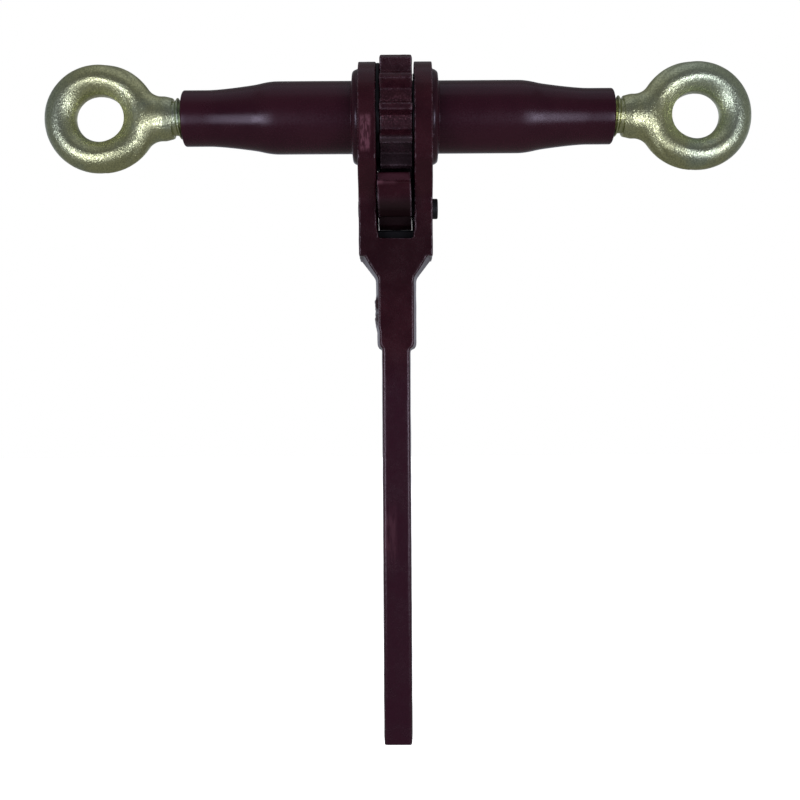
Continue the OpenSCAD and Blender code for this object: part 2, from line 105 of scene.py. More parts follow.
scene = bpy.context.scene
camera_data = bpy.data.cameras.new("camera")
camera_data.sensor_width = SENSOR_WIDTH
camera_data.lens = CAMERA_LENS
camera = bpy.data.objects.new("camera", camera_data)
camera.matrix_world = (Matrix.Translation(CAMERA_AT) @ Matrix.Rotation(math.radians(90), 4, "X")
                       @ Matrix.Rotation(CAMERA_ROLL, 4, "Z"))
scene.collection.objects.link(camera)
scene.camera = camera
scene.view_settings.view_transform = "Standard"
print("camera at", CAMERA_AT[:], "lens", CAMERA_LENS, "mm")

# %% [markdown]
# ## Studio
# The finishes are trees of shader nodes, and the same few turn up in all of them: a maths node, a
# ramp from one range to another, a mix of two colours, a product of masks. Short helpers make
# them. The first three take numbers or sockets alike.

# %% Helpers for shader nodes


def value_node(tree, operation, *values):
    """Math node on numbers or sockets; returns its output."""
    node = tree.nodes.new("ShaderNodeMath")
    node.operation = operation
    for socket, value in zip(node.inputs, values):
        if isinstance(value, (int, float)):
            socket.default_value = value
        else:
            tree.links.new(value, socket)
    return node.outputs[0]


def ramp_node(tree, value, low, high, to_low=0.0, to_high=1.0):
    """Value taken smoothly from low..high to to_low..to_high, held at both ends."""
    node = tree.nodes.new("ShaderNodeMapRange")
    node.interpolation_type = "SMOOTHSTEP"
    tree.links.new(value, node.inputs["Value"])
    for label, number in (("From Min", low), ("From Max", high), ("To Min", to_low), ("To Max", to_high)):
        if isinstance(number, (int, float)):
            node.inputs[label].default_value = number
        else:
            tree.links.new(number, node.inputs[label])
    return node.outputs["Result"]


def colour_mix(tree, factor, first, second, blend="MIX"):
    """Mix of two colours; each may be a socket or a colour."""
    node = tree.nodes.new("ShaderNodeMix")
    node.data_type = "RGBA"
    node.blend_type = blend
    for socket, value in ((node.inputs[0], factor), (node.inputs[6], first), (node.inputs[7], second)):
        if isinstance(value, (int, float, tuple)):
            socket.default_value = value
        else:
            tree.links.new(value, socket)
    return node.outputs[2]


def product(tree, *values):
    """All the values multiplied."""
    result = values[0]
    for value in values[1:]:
        result = value_node(tree, "MULTIPLY", result, value)
    return result


def split_xyz(tree, place):
    node = tree.nodes.new("ShaderNodeSeparateXYZ")
    tree.links.new(place, node.inputs[0])
    return node.outputs


print("helpers: value_node, ramp_node, colour_mix, product, split_xyz")

# %% [markdown]
# Gloss paint and bright plating show the room as much as themselves. The room is a white sweep
# behind the tool and a plain grey studio in front of it, darkest round the camera. Seen by the
# camera the sweep is plain white from every side. Reflections see it too, but only in the back
# half, so that the fronts of the dark pieces stay dark and their turned-away sides get a pale rim.

# %% Studio world
SWEEP_WHITE = (1.0, 1.0, 1.0, 1)
SWEEP_MIRRORED = (0.44, 0.45, 0.52, 1)
STUDIO_GREY = (0.195, 0.195, 0.190, 1)
STUDIO_HIGH = (0.165, 0.17, 0.175, 1)
CAMERA_DARK = (0.09, 0.09, 0.115, 1)
SOFT_LIGHT = (0.70, 0.70, 0.72, 1)
# Shares of a direction's unit vector, where one part of the room gives way to the next
BACK_FADE, HIGH_FADE, CAMERA_FADE = (0.2, 0.85), (0.1, 0.5), (-0.45, -0.92)
SWEEP_LEVEL, SWEEP_FADE = 0.1, (0.45, 0.15)

world = bpy.data.worlds.new("studio")
scene.world = world
world.use_nodes = True
tree = world.node_tree
tree.nodes.clear()
direction = tree.nodes.new("ShaderNodeTexCoord").outputs["Generated"]
towards = split_xyz(tree, direction)
level = value_node(tree, "ABSOLUTE", value_node(tree, "SUBTRACT", towards["Z"], SWEEP_LEVEL))
sweep_share = product(tree, ramp_node(tree, towards["Y"], *BACK_FADE), ramp_node(tree, level, *SWEEP_FADE))
rays = tree.nodes.new("ShaderNodeLightPath")
mirrored = value_node(tree, "MAXIMUM", rays.outputs["Is Glossy Ray"], rays.outputs["Is Transmission Ray"])
studio = colour_mix(tree, ramp_node(tree, towards["Z"], *HIGH_FADE), STUDIO_GREY, STUDIO_HIGH)
studio = colour_mix(tree, ramp_node(tree, towards["Y"], *CAMERA_FADE), studio, CAMERA_DARK)
mirror_image = colour_mix(tree, sweep_share, studio, SWEEP_MIRRORED)
seen = colour_mix(tree, mirrored, SOFT_LIGHT, mirror_image)
background = tree.nodes.new("ShaderNodeBackground")
tree.links.new(colour_mix(tree, rays.outputs["Is Camera Ray"], seen, SWEEP_WHITE),
               background.inputs["Color"])
output = tree.nodes.new("ShaderNodeOutputWorld")
tree.links.new(background.outputs[0], output.inputs["Surface"])
print("world:", world.name)

# %% [markdown]
# The floor is a plain pale sheet well below the hanging handle. It is lit like everything else, so
# it keeps the tool's shadow; some plain white is added for the camera alone, so that it meets the
# sweep without a line. Reflections leave it out and see the world behind it.

# %% Floor
FLOOR_DROP = 0.13
FLOOR_HALF = 6.0
FLOOR_WHITE, FLOOR_ROUGHNESS, FLOOR_GLOW = 0.9, 0.9, 0.75


def mesh_object(name, points, faces):
    mesh = bpy.data.meshes.new(name)
    mesh.from_pydata([tuple(p) for p in points], [], [tuple(f) for f in faces])
    mesh.update()
    thing = bpy.data.objects.new(name, mesh)
    scene.collection.objects.link(thing)
    return thing


def new_material(name):
    """A material, its node tree and the inputs of its principled shader."""
    material = bpy.data.materials.new(name)
    material.use_nodes = True
    return material, material.node_tree, material.node_tree.nodes["Principled BSDF"].inputs


floor_z = cad_box[0].z - FLOOR_DROP
corners = [(barrel_middle_x + x * FLOOR_HALF, y * FLOOR_HALF, floor_z)
           for x, y in ((-1, -1), (1, -1), (1, 1), (-1, 1))]
floor = mesh_object("floor", corners, [(0, 1, 2, 3)])
floor_paint, tree, shader = new_material("floor")
shader["Base Color"].default_value = (FLOOR_WHITE, FLOOR_WHITE, FLOOR_WHITE, 1)
shader["Roughness"].default_value = FLOOR_ROUGHNESS
shader["Emission Color"].default_value = SWEEP_WHITE
rays = tree.nodes.new("ShaderNodeLightPath")
tree.links.new(product(tree, rays.outputs["Is Camera Ray"], FLOOR_GLOW), shader["Emission Strength"])
floor.data.materials.append(floor_paint)
floor.visible_glossy = False
print("floor at", round(floor_z, 3))

# %% [markdown]
# On either side of the camera, a little lower than it, stand a tall softbox and, further out, a
# smaller core that is as strong. On a round bar each pair draws one soft streak with a bright
# middle, and those streaks are what makes the eyes and the barrel's tapers read as round. A weak
# wide light overhead keeps the tops from going black.

# %% Lights
LAMP_TINT = (0.93, 0.95, 1.18)
LAMP_Y, LAMP_Z, LAMP_AIM_Z = -0.69, -0.20, -0.05
SIDE_LAMPS = (("softbox", 0.37, 0.28, 0.42, 0.92),
              ("core", 0.52, 0.16, 0.28, 1.10))  # name, reach, width, height, watts
TOP_Y, TOP_Z, TOP_SIZE, TOP_WATTS = -0.1, 1.3, 1.2, 1.0


def softbox(name, place, aim, width, height, watts):
    data = bpy.data.lights.new(name, "AREA")
    data.shape = "RECTANGLE"
    data.size = width
    data.size_y = height
    data.energy = watts
    data.color = LAMP_TINT
    lamp = bpy.data.objects.new(name, data)
    lamp.location = place
    lamp.rotation_mode = "QUATERNION"
    lamp.rotation_quaternion = (Vector(aim) - Vector(place)).to_track_quat("-Z", "Y")
    lamp.visible_camera = False
    scene.collection.objects.link(lamp)


for side, sign in (("left", -1), ("right", 1)):
    for part, reach, *box in SIDE_LAMPS:
        softbox(f"{side}_{part}", (barrel_middle_x + sign * reach, LAMP_Y, LAMP_Z),
                (barrel_middle_x, 0, LAMP_AIM_Z), *box)
softbox("overhead", (barrel_middle_x, TOP_Y, TOP_Z), (barrel_middle_x, 0, 0), TOP_SIZE, TOP_SIZE, TOP_WATTS)

# %% [markdown]
# ## Surface effects shared by the finishes
# Three effects turn up on more than one finish, so each is a node group with its own inputs.
# *Edge rub* finds the edges by comparing the true normal with a rounded one, and breaks the result
# up with noise into patches of pale paint, partly rubbed paint and partly a painted glint. *Cast grain*
# mixes coarse and fine noise, for the skin of a forging. *Scratches* are thin streaks in two
# directions. First come the helpers that make a group's sockets, its noises and its stretched places.

# %% Helpers for node groups


def new_group(name, inputs, outputs):
    group = bpy.data.node_groups.new(name, "ShaderNodeTree")
    for label, default in inputs:
        socket = group.interface.new_socket(label, in_out="INPUT", socket_type="NodeSocketFloat")
        socket.default_value = default
    for label in outputs:
        group.interface.new_socket(label, in_out="OUTPUT", socket_type="NodeSocketFloat")
    return group, group.nodes.new("NodeGroupInput").outputs, group.nodes.new("NodeGroupOutput").inputs


def position(tree):
    return tree.nodes.new("ShaderNodeTexCoord").outputs["Object"]


def noise_node(tree, place, scale, detail=2.0, rough=0.5):
    node = tree.nodes.new("ShaderNodeTexNoise")
    tree.links.new(place, node.inputs["Vector"])
    for label, number in (("Scale", scale), ("Detail", detail), ("Roughness", rough)):
        if isinstance(number, (int, float)):
            node.inputs[label].default_value = number
        else:
            tree.links.new(number, node.inputs[label])
    return node.outputs["Fac"]


def stretched(tree, place, scale, turn=(0, 0, 0)):
    node = tree.nodes.new("ShaderNodeMapping")
    node.inputs["Scale"].default_value = scale
    node.inputs["Rotation"].default_value = turn
    tree.links.new(place, node.inputs["Vector"])
    return node.outputs[0]


print("helpers: new_group, position, noise_node, stretched")

# %% Edge rub, partly a painted glint
SHARP_FROM, SHARP_TO = 0.995, 0.9  # likeness of the two normals on a flat and on an edge
BARE_BAND = 0.18

# The mask is pale edge paint: partly rubbed paint, partly a painted glint along the edges.
edge_rub_and_glint, given, gives = new_group("edge_rub_and_glint", (("Radius", 0.0012), ("Patch Scale", 90.0), ("Bare", 0.42)),
                                   ("Mask",))
rounded = edge_rub_and_glint.nodes.new("ShaderNodeBevel")
rounded.samples = 6
edge_rub_and_glint.links.new(given["Radius"], rounded.inputs["Radius"])
true_normal = edge_rub_and_glint.nodes.new("ShaderNodeNewGeometry").outputs["Normal"]
likeness = edge_rub_and_glint.nodes.new("ShaderNodeVectorMath")
likeness.operation = "DOT_PRODUCT"
edge_rub_and_glint.links.new(rounded.outputs[0], likeness.inputs[0])
edge_rub_and_glint.links.new(true_normal, likeness.inputs[1])
sharpness = ramp_node(edge_rub_and_glint, likeness.outputs["Value"], SHARP_FROM, SHARP_TO)
patches = noise_node(edge_rub_and_glint, position(edge_rub_and_glint), given["Patch Scale"], 4.0, 0.7)
patches = ramp_node(edge_rub_and_glint, patches, given["Bare"], value_node(edge_rub_and_glint, "ADD", given["Bare"], BARE_BAND))
edge_rub_and_glint.links.new(product(edge_rub_and_glint, sharpness, patches), gives["Mask"])
print("group", edge_rub_and_glint.name)

# %% Cast grain
cast_grain, given, gives = new_group("cast_grain", (("Coarse Scale", 60.0), ("Fine Scale", 900.0),
                                                    ("Fine Share", 0.35)), ("Tone", "Height"))
place = position(cast_grain)
coarse = noise_node(cast_grain, place, given["Coarse Scale"], 3.0, 0.55)
fine = noise_node(cast_grain, place, given["Fine Scale"], 2.0, 0.6)
cast_grain.links.new(coarse, gives["Tone"])
rest = value_node(cast_grain, "SUBTRACT", 1.0, given["Fine Share"])
cast_grain.links.new(value_node(cast_grain, "ADD", product(cast_grain, coarse, rest),
                                product(cast_grain, fine, given["Fine Share"])), gives["Height"])
print("group", cast_grain.name)

# %% Scratches
SCRATCH_TURNS, SCRATCH_SCALE = (0.45, -0.95), (1300, 1300, 260)
THINNEST = 0.66

scratches, given, gives = new_group("scratches", (("Thinness", THINNEST),), ("Mask",))
place = position(scratches)
streaks = []
for turn in SCRATCH_TURNS:
    along = stretched(scratches, place, SCRATCH_SCALE, (0.0, turn, 0.0))
    streak = noise_node(scratches, along, 1.0, 1.0, 0.5)
    streaks.append(ramp_node(scratches, streak, given["Thinness"], THINNEST))
scratches.links.new(value_node(scratches, "MAXIMUM", *streaks), gives["Mask"])
print("group", scratches.name)

# %% [markdown]
# ## Oxblood enamel
# The barrel, fork, wheel, pawl and bar are sprayed with the same dark red-brown gloss enamel. A plain
# principled shader has the colour, and its own slightly tinted reflection is the gloss, so no coat
# is needed. What differs is what lies under the paint, a smooth drawn tube or the grain of a
# forging, and the marks on it. So one function makes the enamel, takes the depth of the grain and
# masks for wear and for painted glints, highlights, sheen and shade, and lets the paint turn pale
# along the edges, partly as rubbed paint and partly as a painted glint.

# %% Enamel colours
ENAMEL = (0.0225, 0.0030, 0.0060, 1)
ENAMEL_DEEP = (0.0150, 0.0021, 0.0044, 1)
TUBE_ENAMEL = (0.0222, 0.0029, 0.0072, 1)
TUBE_DEEP = (0.0158, 0.0022, 0.0058, 1)
# The wheel's enamel, with more green and blue than the rest: a painted reflection on its flanks.
WHEEL_LIT_ENAMEL = (0.0225, 0.0046, 0.0076, 1)
WHEEL_LIT_DEEP = (0.0150, 0.0034, 0.0058, 1)
# Pale edge paint: partly rubbed paint, partly a painted glint on the edges.
ENAMEL_RUB_AND_GLINT = (0.20, 0.15, 0.18, 1)
# Pale paint: real scratches on an ear, a lighter patch on the bar, painted glints on the wheel and a
# painted highlight on the pawl's horn.
ENAMEL_SCUFF_AND_GLINT = (0.085, 0.030, 0.042, 1)
# Dark brown: painted shade round the pawl's heel, and the darker band at the fork's root.
HEEL_BROWN = (0.0065, 0.0010, 0.0018, 1)
# Cooler paint for the bar: a painted violet sheen.
BAR_SHEEN_VIOLET = (0.0195, 0.0040, 0.0088, 1)
# Duller grey paint: painted shade on the wheel's lower teeth.
WHEEL_SHADE_GREY = (0.0165, 0.0090, 0.0115, 1)
VIOLET_SHEEN = (0.80, 0.71, 0.77, 1)
BROWN_SHEEN = (0.90, 0.75, 0.76, 1)
print("enamel", ENAMEL[:3], "edge", ENAMEL_RUB_AND_GLINT[:3])

# %% Enamel
EDGE_PATCH_SCALE = 330.0
PAINTED_SHADE_ROUGHNESS = 0.45


def add_group(tree, group, **values):
    node = tree.nodes.new("ShaderNodeGroup")
    node.node_tree = group
    for label, number in values.items():
        node.inputs[label.replace("_", " ")].default_value = number
    return node.outputs


def bump(tree, height, strength, distance):
    node = tree.nodes.new("ShaderNodeBump")
    node.inputs["Strength"].default_value = strength
    node.inputs["Distance"].default_value = distance
    tree.links.new(height, node.inputs["Height"])
    return node.outputs[0]


def enamel(name, grain_depth, coarse, fine, gloss, edge_radius, sheen, shine=0.37, bare=0.38,
           wear_and_glint=None, painted_shade=None, tint=None, shade=None, paint=(ENAMEL_DEEP, ENAMEL)):
    """Gloss enamel. The masks give pale paint for scuffs and for painted glints and highlights,
    painted shade that is also rougher, and darker paint. Tint is a mask's maker with its own colour."""
    material, tree, shader = new_material(name)
    grain = add_group(tree, cast_grain, Coarse_Scale=coarse, Fine_Scale=fine)
    rub_and_glint = add_group(tree, edge_rub_and_glint, Radius=edge_radius, Patch_Scale=EDGE_PATCH_SCALE, Bare=bare)
    colour = colour_mix(tree, ramp_node(tree, grain["Tone"], 0.3, 0.7), *paint)
    roughness = ramp_node(tree, grain["Height"], 0.3, 0.7, gloss - 0.05, gloss + 0.08)
    # A mask with its own colour: painted sheen on the bar, painted shade on the wheel's lower teeth.
    if tint:
        mask_maker, other_paint = tint
        colour = colour_mix(tree, mask_maker(tree), colour, other_paint)
    if shade:
        colour = colour_mix(tree, shade(tree), colour, HEEL_BROWN)
    # Pale paint for scuffs, and for painted glints and highlights.
    if wear_and_glint:
        colour = colour_mix(tree, wear_and_glint(tree), colour, ENAMEL_SCUFF_AND_GLINT)
    # Painted shade: this mask darkens the paint and makes it rougher.
    if painted_shade:
        mask = painted_shade(tree)
        colour = colour_mix(tree, mask, colour, HEEL_BROWN)
        roughness = ramp_node(tree, mask, 0.0, 1.0, roughness, PAINTED_SHADE_ROUGHNESS)
    # Pale edges: partly rubbed paint, partly a painted glint.
    colour = colour_mix(tree, rub_and_glint["Mask"], colour, ENAMEL_RUB_AND_GLINT)
    tree.links.new(colour, shader["Base Color"])
    tree.links.new(roughness, shader["Roughness"])
    tree.links.new(bump(tree, grain["Height"], 0.6, grain_depth), shader["Normal"])
    shader["Specular IOR Level"].default_value = shine
    shader["Specular Tint"].default_value = sheen
    return material


tube_enamel = enamel("tube_enamel", grain_depth=0.00010, coarse=25.0, fine=800.0, gloss=0.24,
                     edge_radius=0.0010, sheen=VIOLET_SHEEN, bare=0.62, paint=(TUBE_DEEP, TUBE_ENAMEL))
print("enamel on the tube:", tube_enamel.name)

# %% [markdown]
# Each mask is put where it belongs: scratches on one ear, a lighter stretch of the bar, a painted
# sheen on the bar and darker paint at the root of the fork. A mask could be painted by hand, but a
# band along an axis of the piece says in numbers where it lies. All places are heights below the
# barrel's axis, and distances to the left of the wheel's middle.

# %% Marks, painted sheen and darker paint of the handle
SCRATCHED_X = wheel_x - 20.4 * MM, wheel_x - 14.6 * MM
SCRATCHED_Z = -26 * MM, -6 * MM
SCRATCH_THINNESS, BETWEEN_SCRATCHES = 0.44, 0.22
BAR_PATCH_X = wheel_x - 20 * MM, wheel_x - 1.2 * MM
BAR_PATCH_Z = -262 * MM, -232 * MM
BAR_PATCH_SHARE = 0.3
BAR_Z = -500 * MM, -150 * MM
FORK_ROOT_Z, FORK_ROOT_SHADE = (-104 * MM, -62 * MM), 0.5


def within(tree, axis, low, high, soft):
    """Mask that is 1 between low and high along an axis of the object, with soft ends."""
    along = split_xyz(tree, position(tree))[axis]
    return product(tree, ramp_node(tree, along, low - soft, low + soft),
                   ramp_node(tree, along, high + soft, high - soft))


def scratched_ear(tree):
    """Cross scratches on the front of the left ear, where a tool has slipped."""
    area = product(tree, within(tree, "X", *SCRATCHED_X, 0.8 * MM), within(tree, "Z", *SCRATCHED_Z, 2 * MM),
                   within(tree, "Y", -40 * MM, 0, MM))
    lines = add_group(tree, scratches, Thinness=SCRATCH_THINNESS)
    return product(tree, area, ramp_node(tree, lines["Mask"], 0.0, 1.0, BETWEEN_SCRATCHES, 1.0))


def handle_marks(tree):
    """The scratched ear, and a lighter streaky stretch of the bar."""
    bar_patch = product(tree, within(tree, "X", *BAR_PATCH_X, 1.2 * MM), within(tree, "Z", *BAR_PATCH_Z, 9 * MM))
    streaky = noise_node(tree, stretched(tree, position(tree), (500, 500, 90)), 1.0, 3.0)
    lighter_patch = product(tree, bar_patch, ramp_node(tree, streaky, 0.3, 0.6), BAR_PATCH_SHARE)
    return value_node(tree, "MAXIMUM", scratched_ear(tree), lighter_patch)


def bar_painted_sheen(tree):
    """Painted sheen: a more violet paint on the bar stands in for its more violet reflection."""
    return within(tree, "Z", *BAR_Z, 15 * MM)


def fork_shade(tree):
    """Darkens the paint a little in a band at the root of the fork."""
    return product(tree, within(tree, "Z", *FORK_ROOT_Z, 16 * MM), FORK_ROOT_SHADE)


handle_enamel = enamel("handle_enamel", grain_depth=0.00030, coarse=70.0, fine=600.0, gloss=0.22,
                       edge_radius=0.0012, sheen=BROWN_SHEEN, wear_and_glint=handle_marks,
                       tint=(bar_painted_sheen, BAR_SHEEN_VIOLET), shade=fork_shade)
print("enamel on the fork and bar:", handle_enamel.name)

# %% [markdown]
# The wheel is cast, and its floors between the teeth are rough. Bright specks are painted there as
# glints, most of them in a band near the height of the barrel's axis, a few on the lands' edges, and
# its lower teeth get painted shade. The floors are told from the teeth by their distance from the
# barrel's axis, which needs no painted map and holds when the wheel is turned.

# %% Painted glints and shade of the wheel
WHEEL_FLOOR_R, FLOOR_BAND = 29.7 * MM, (1.2 * MM, 0.3 * MM)
# Band near the height of the barrel's axis where most painted glints lie.
GLINT_Z, ELSEWHERE = (-9 * MM, 4 * MM), 0.3
SHADED_TEETH_Z = -34 * MM, -17.5 * MM
SPECK_SCALE = 1250.0


def wheel_painted_glints(tree):
    """Bright specks painted as glints: many in the rough floors between the teeth, a few on the lands'
    edges.
    """
    across = split_xyz(tree, position(tree))
    squares = [product(tree, across[axis], across[axis]) for axis in ("Y", "Z")]
    radius = value_node(tree, "SQRT", value_node(tree, "ADD", *squares))
    floors = ramp_node(tree, radius, *(WHEEL_FLOOR_R + band for band in FLOOR_BAND))
    specks = noise_node(tree, position(tree), SPECK_SCALE, 1.0, 0.5)
    rub_and_glint = add_group(tree, edge_rub_and_glint, Radius=0.0022, Patch_Scale=700.0)
    glint_band = ramp_node(tree, within(tree, "Z", *GLINT_Z, 3 * MM), 0.0, 1.0, ELSEWHERE, 1.0)
    on_floor = product(tree, floors, glint_band, ramp_node(tree, specks, 0.50, 0.72))
    on_edge = product(tree, rub_and_glint["Mask"], ramp_node(tree, specks, 0.45, 0.6))
    return value_node(tree, "MAXIMUM", on_floor, on_edge)


def wheel_painted_shade(tree):
    """Painted shade: a duller, greyer paint on the teeth in a band below the axis."""
    return within(tree, "Z", *SHADED_TEETH_Z, 1.5 * MM)


wheel_enamel = enamel("wheel_enamel", grain_depth=0.00080, coarse=250.0, fine=800.0, gloss=0.22,
                      edge_radius=0.0014, sheen=BROWN_SHEEN, wear_and_glint=wheel_painted_glints,
                      tint=(wheel_painted_shade, WHEEL_SHADE_GREY), paint=(WHEEL_LIT_DEEP, WHEEL_LIT_ENAMEL))
print("enamel on the wheel:", wheel_enamel.name)

# %% [markdown]
# The top of the pawl's front horn gets a painted highlight, brightest at its left corner, and the
# heel below the pin gets painted shade. Three bands are enough.

# %% Painted highlight and shade of the pawl
HORN_TOP_Z, HORN_TOP_HIGHLIGHT = (-42.2 * MM, -36.6 * MM), 0.55
BROW_Z, BROW_HIGHLIGHT = (-44.2 * MM, -40 * MM), 0.45
BROW_LEFT, CORNER_RIGHT, BROW_RIGHT = wheel_x - 14 * MM, wheel_x - 7 * MM, wheel_x
HEEL_Z = -90 * MM, pin_z + 0.5 * MM


def horn_painted_highlight(tree):
    """Painted highlight along the top of the front horn, brightest at its left corner."""
    top = product(tree, within(tree, "Z", *HORN_TOP_Z, 1 * MM), HORN_TOP_HIGHLIGHT)
    brow = within(tree, "Z", *BROW_Z, 1.5 * MM)
    corner = product(tree, brow, within(tree, "X", BROW_LEFT, CORNER_RIGHT, 2 * MM))
    beside = product(tree, brow, within(tree, "X", BROW_LEFT, BROW_RIGHT, 2 * MM), BROW_HIGHLIGHT)
    return value_node(tree, "MAXIMUM", value_node(tree, "MAXIMUM", top, corner), beside)


def heel_painted_shade(tree):
    """Painted shade round the heel, below the pin."""
    return within(tree, "Z", *HEEL_Z, 5 * MM)


pawl_enamel = enamel("pawl_enamel", grain_depth=0.00020, coarse=70.0, fine=600.0, gloss=0.24,
                     edge_radius=0.0014, sheen=BROWN_SHEEN, shine=0.31, wear_and_glint=horn_painted_highlight, painted_shade=heel_painted_shade)
print("enamel on the pawl:", pawl_enamel.name)

# %% [markdown]
# ## Yellow zinc
# The eye bolts are zinc plated and then dipped in a yellow passivate. That gives a thin film whose
# colour wanders from straw to a cool grey-green. Over a shot-blasted forging it looks finely
# grainy. A metallic principled shader with a wandering colour and a fine bump gives both. The film
# is greener on the outer halves of the eyes, and slate on the far eye's upper side.

# %% Zinc
ZINC_STRAW = (0.62, 0.63, 0.34, 1)
ZINC_GREEN = (0.50, 0.57, 0.43, 1)
ZINC_SLATE = (0.60, 0.67, 0.46, 1)
PIT_DARK, PIT_BRIGHT = (0.73, 0.74, 0.75, 1), (1.14, 1.14, 1.13, 1)
OUTER_HALF = 0.183, 0.212  # distances from the barrel's middle
SLATE_SIDE = 0.335, 0.382  # X + Z
HATCH_SCALE, HATCH_TURN = (1250, 1000, 650), 0.7
ZINC_RELIEF = 0.00023


def zinc(name):
    material, tree, shader = new_material(name)
    place = position(tree)
    wander = noise_node(tree, place, 28.0, 3.0, 0.6)
    grain = add_group(tree, cast_grain, Coarse_Scale=260.0, Fine_Scale=900.0, Fine_Share=0.6)
    along = split_xyz(tree, place)
    outward = value_node(tree, "ABSOLUTE", value_node(tree, "SUBTRACT", along["X"], barrel_middle_x))
    green = value_node(tree, "MAXIMUM", ramp_node(tree, wander, 0.46, 0.78),
                       ramp_node(tree, outward, *OUTER_HALF))
    colour = colour_mix(tree, green, ZINC_STRAW, ZINC_GREEN)
    far_up = value_node(tree, "ADD", along["X"], along["Z"])
    colour = colour_mix(tree, ramp_node(tree, far_up, *SLATE_SIDE), colour, ZINC_SLATE)
    hatch = noise_node(tree, stretched(tree, place, HATCH_SCALE, (0, HATCH_TURN, 0)), 1.0, 2.0, 0.6)
    pits = colour_mix(tree, ramp_node(tree, hatch, 0.36, 0.64), PIT_DARK, PIT_BRIGHT)
    colour = colour_mix(tree, 1.0, colour, pits, "MULTIPLY")
    tree.links.new(colour, shader["Base Color"])
    shader["Metallic"].default_value = 1.0
    tree.links.new(ramp_node(tree, hatch, 0.3, 0.7, 0.39, 0.26), shader["Roughness"])
    relief = value_node(tree, "ADD", grain["Height"], hatch)
    tree.links.new(bump(tree, relief, 1.0, ZINC_RELIEF), shader["Normal"])
    return material


yellow_zinc = zinc("yellow_zinc")
print("zinc:", yellow_zinc.name)

# %% [markdown]
# ## Plain steels
# The pawl's pin is blackened. The stop washers, cross pins, plunger and spring are bare steel and
# mostly out of sight, but they come into view when the tool is taken apart, so they are finished
# too: the forgings' grain, made much finer, on a metallic shader.

# %% Steels
STEEL_RELIEF, STEEL_SHADE = 0.00006, 0.6


def steel(name, colour, rough_low, rough_high, metallic=1.0):
    material, tree, shader = new_material(name)
    grain = add_group(tree, cast_grain, Coarse_Scale=200.0, Fine_Scale=1800.0, Fine_Share=0.5)
    darker = tuple(STEEL_SHADE * c for c in colour) + (1,)
    tree.links.new(colour_mix(tree, grain["Tone"], darker, colour + (1,)), shader["Base Color"])
    shader["Metallic"].default_value = metallic
    tree.links.new(ramp_node(tree, grain["Height"], 0.3, 0.7, rough_low, rough_high), shader["Roughness"])
    tree.links.new(bump(tree, grain["Height"], 0.4, STEEL_RELIEF), shader["Normal"])
    return material


black_steel = steel("black_steel", (0.012, 0.012, 0.013), 0.4, 0.6, metallic=0.3)
bare_steel = steel("bare_steel", (0.5, 0.5, 0.51), 0.25, 0.4)
spring_wire = steel("spring_wire", (0.25, 0.25, 0.27), 0.25, 0.4)
print("steels:", black_steel.name, bare_steel.name, spring_wire.name)

# %% [markdown]
# Pieces whose CAD shape is already right only need their finish. Their meshes stay as they are.

# %% Finishes for the turned pieces


def finish_node(node, material):
    thing = nodes[node]
    if thing.material_slots:
        for slot in thing.material_slots:
            slot.material = material
    else:
        thing.data.materials.append(material)


finish_node("pawl_pin", black_steel)
finish_node("detent_spring", spring_wire)
for node in ("detent_plunger", "left_stop_washer", "right_stop_washer", "left_stop_pin", "right_stop_pin"):
    finish_node(node, bare_steel)
print("finished nodes")

# %% [markdown]
# ## Shells
# Barrel, collars, necks and screws are rings of points joined by faces. A ring of sections can be
# spun by a modifier, but rings made in code can be oval or follow a helix as well. Several shells
# are then joined into one mesh whose faces all look outwards.

# %% Helpers for shells


def tube_faces(rings, sides, capped=True):
    """Quads between rings of equal size that follow each other, and the two end caps."""
    faces = [(k * sides + i, k * sides + (i + 1) % sides,
              (k + 1) * sides + (i + 1) % sides, (k + 1) * sides + i)
             for k in range(rings - 1) for i in range(sides)]
    if capped:
        faces.append(tuple(reversed(range(sides))))
        faces.append(tuple((rings - 1) * sides + i for i in range(sides)))
    return faces


def turned(outline, sides):
    """Rings about the X axis from a list of (x, radius)."""
    return [(x, r * math.cos(2 * math.pi * i / sides), r * math.sin(2 * math.pi * i / sides))
            for x, r in outline for i in range(sides)]


def joined(name, parts):
    """One mesh from several, with all faces turned outwards."""
    work = bmesh.new()
    for part in parts:
        mesh = part.data
        work.from_mesh(mesh)
        bpy.data.objects.remove(part)
        bpy.data.meshes.remove(mesh)
    bmesh.ops.recalc_face_normals(work, faces=work.faces)
    thing = mesh_object(name, [], [])
    work.to_mesh(thing.data)
    work.free()
    return thing


print("helpers: tube_faces, turned, joined")

# %% [markdown]
# Every piece is finished in the same way: it gets its material and the body that it rides on, and
# the nodes that it stands for are hidden. The right-hand eye and screw are mirror images of the
# left-hand ones, which also turns the thread the other way.

# %% Helpers for a finished piece


def dress(piece, body, replaced, material):
    piece.data.shade_smooth()
    piece.data.materials.clear()
    piece.data.materials.append(material)
    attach(piece, body)
    if replaced:
        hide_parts(*replaced)
    print(piece.name, "points:", len(piece.data.vertices))


def right_hand(name, left_thing):
    """Copy of a left-hand piece, mirrored half way along the barrel."""
    thing = bpy.data.objects.new(name, left_thing.data.copy())
    scene.collection.objects.link(thing)
    thing.data.transform(Matrix.Translation((2 * barrel_middle_x, 0, 0)) @ Matrix.Scale(-1, 4, (1, 0, 0)))
    thing.data.flip_normals()
    return thing


print("helpers: dress, right_hand")

# %% [markdown]
# ## Barrel and collars
# The barrel is a steel tube whose ends are drawn down over a mandrel, so its outline swells in a
# hollow curve, turns over at a knee and runs on straight. It is turned here from many close rings,
# and the knee is averaged over a few millimetres, because a drawn tube has no sharp turn. The
# collars are turned too, with a rounded outer corner and a little fillet of paint at the foot.

